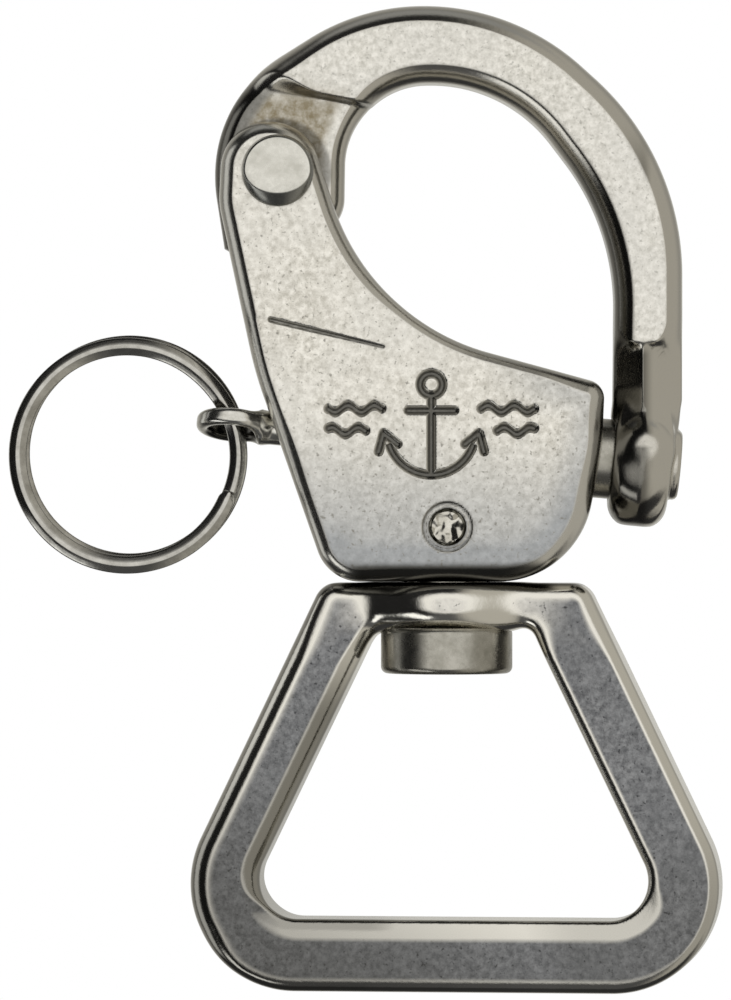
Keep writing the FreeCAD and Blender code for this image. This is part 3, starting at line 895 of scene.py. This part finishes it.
def studio_world():
    """A white room seen by the camera. What the metal mirrors is a soft light in front, a fainter one
    behind, dark cloth to the left, above and below, grey to the right, and small lights at the far
    left, above and low on the left in front."""
    world = bpy.data.worlds.new("studio")
    bpy.context.scene.world = world
    world.use_nodes = True
    tree = world.node_tree
    tree.nodes.clear()
    output = tree.nodes.new("ShaderNodeOutputWorld")

    def math_node(operation, *values):
        node = tree.nodes.new("ShaderNodeMath")
        node.operation = operation
        for socket, value in zip(node.inputs, values):
            if isinstance(value, (int, float)):
                socket.default_value = value
            else:
                tree.links.new(value, socket)
        return node.outputs[0]

    def ramp(value, low, high):
        node = tree.nodes.new("ShaderNodeMapRange")
        node.interpolation_type = "SMOOTHSTEP"
        node.inputs["From Min"].default_value = low
        node.inputs["From Max"].default_value = high
        tree.links.new(value, node.inputs["Value"])
        return node.outputs["Result"]

    def paint(under, mask, colour):
        node = tree.nodes.new("ShaderNodeMix")
        node.data_type = "RGBA"
        tree.links.new(mask, node.inputs[0])
        if isinstance(under, tuple):
            node.inputs[6].default_value = (*under, 1)
        else:
            tree.links.new(under, node.inputs[6])
        node.inputs[7].default_value = (*colour, 1)
        return node.outputs[2]

    place = tree.nodes.new("ShaderNodeTexCoord")
    split = tree.nodes.new("ShaderNodeSeparateXYZ")
    tree.links.new(place.outputs["Generated"], split.inputs[0])
    x, y, z = split.outputs
    front = math_node("MULTIPLY", y, -1.0)
    left = math_node("MULTIPLY", x, -1.0)
    down = math_node("MULTIPLY", z, -1.0)
    light = (0.10, 0.10, 0.10)
    light = paint(light, ramp(left, 0.2, 0.6), (0.015, 0.015, 0.015))
    light = paint(light, ramp(z, 0.35, 0.75), (0.02, 0.02, 0.02))
    light = paint(light, ramp(x, 0.08, 0.5), (0.50, 0.48, 0.43))
    light = paint(light, ramp(y, 0.35, 0.75), (0.36, 0.35, 0.32))
    edge_light = math_node("MULTIPLY", ramp(left, 0.75, 0.85), ramp(y, -0.04, 0.12))
    edge_light = math_node("MULTIPLY", edge_light, math_node("SUBTRACT", 1.0, ramp(y, 0.40, 0.52)))
    light = paint(light, edge_light, (0.70, 0.70, 0.68))
    top_light = math_node("MULTIPLY", ramp(z, 0.75, 0.9), ramp(y, 0.02, 0.22))
    light = paint(light, top_light, (0.34, 0.34, 0.33))
    light = paint(light, ramp(y, 0.80, 0.95), (0.62, 0.61, 0.57))
    below = math_node("MULTIPLY", ramp(down, 0.45, 0.75), ramp(y, -0.1, 0.1))
    light = paint(light, below, (0.04, 0.04, 0.04))
    low_left = math_node("MULTIPLY", ramp(down, 0.42, 0.55), ramp(left, 0.25, 0.4))
    low_left = math_node("MULTIPLY", low_left, math_node("SUBTRACT", 1.0, ramp(front, 0.40, 0.52)))
    light = paint(light, math_node("MULTIPLY", low_left, ramp(front, 0.1, 0.25)), (1.3, 1.3, 1.27))
    lifted = math_node("ADD", front, math_node("MULTIPLY", z, 0.18))
    light = paint(light, ramp(lifted, 0.60, 0.84), (1.0, 0.985, 0.95))
    scene_light = tree.nodes.new("ShaderNodeBackground")
    tree.links.new(light, scene_light.inputs["Color"])
    backdrop = tree.nodes.new("ShaderNodeBackground")
    backdrop.inputs["Color"].default_value = (1, 1, 1, 1)
    path = tree.nodes.new("ShaderNodeLightPath")
    choose = tree.nodes.new("ShaderNodeMixShader")
    tree.links.new(path.outputs["Is Camera Ray"], choose.inputs[0])
    tree.links.new(scene_light.outputs[0], choose.inputs[1])
    tree.links.new(backdrop.outputs[0], choose.inputs[2])
    tree.links.new(choose.outputs[0], output.inputs["Surface"])


def pale_floor():
    """A plain round floor below the hanging shackle, which fades into the white room at its edge."""
    radius = 1.1
    height = -0.09
    mesh = bpy.data.meshes.new("floor")
    disc = bmesh.new()
    bmesh.ops.create_circle(disc, cap_ends=True, radius=radius, segments=128)
    bmesh.ops.translate(disc, verts=disc.verts, vec=(0, 0, height))
    disc.to_mesh(mesh)
    disc.free()
    floor = bpy.data.objects.new("floor", mesh)
    bpy.context.scene.collection.objects.link(floor)
    n = Nodes("pale_floor")
    place = n.add("TexCoord")
    from_middle = n.add("VectorMath", operation="LENGTH")
    n.link(place.outputs["Object"], from_middle.inputs[0])
    n.shader.inputs["Base Color"].default_value = (0.80, 0.80, 0.79, 1)
    n.shader.inputs["Roughness"].default_value = 0.9
    n.shader.inputs["Specular IOR Level"].default_value = 0.0
    glow = n.add("Emission", Strength=1.0)
    fade = n.add("MixShader")
    edge = n.spread(from_middle.outputs["Value"], 0.25 * radius, 0.95 * radius, 0.0, 1.0)
    n.link(edge, fade.inputs[0])
    n.link(n.shader.outputs[0], fade.inputs[1])
    n.link(glow.outputs[0], fade.inputs[2])
    n.link(fade.outputs[0], n.tree.nodes["Material Output"].inputs["Surface"])
    mesh.materials.append(n.material)
    floor.visible_glossy = False


def overhead_light():
    """A broad soft light from above, for the floor. The metal doesn't mirror it."""
    data = bpy.data.lights.new("overhead", "SUN")
    data.energy = 2.6
    data.angle = math.radians(70)
    lamp = bpy.data.objects.new("overhead", data)
    lamp.rotation_euler = (math.radians(12), math.radians(-8), 0)
    lamp.visible_glossy = False
    bpy.context.scene.collection.objects.link(lamp)


def photographer():
    """A long lens straight in front of the faces."""
    distance = 0.70
    view_height = 0.1
    centre = Vector((-0.00815, 0.0, 0.0420))
    data = bpy.data.cameras.new("camera")
    data.sensor_fit = "VERTICAL"
    data.sensor_height = 24.0
    data.sensor_width = 24.0
    data.lens = data.sensor_height * (distance - 0.003) / view_height
    camera = bpy.data.objects.new("camera", data)
    camera.location = centre + Vector((0, -distance, 0))
    camera.rotation_euler = (math.pi / 2, 0, 0)
    bpy.context.scene.collection.objects.link(camera)
    bpy.context.scene.camera = camera


studio_world()
pale_floor()
overhead_light()
photographer()
bpy.context.scene.view_settings.view_transform = "Standard"
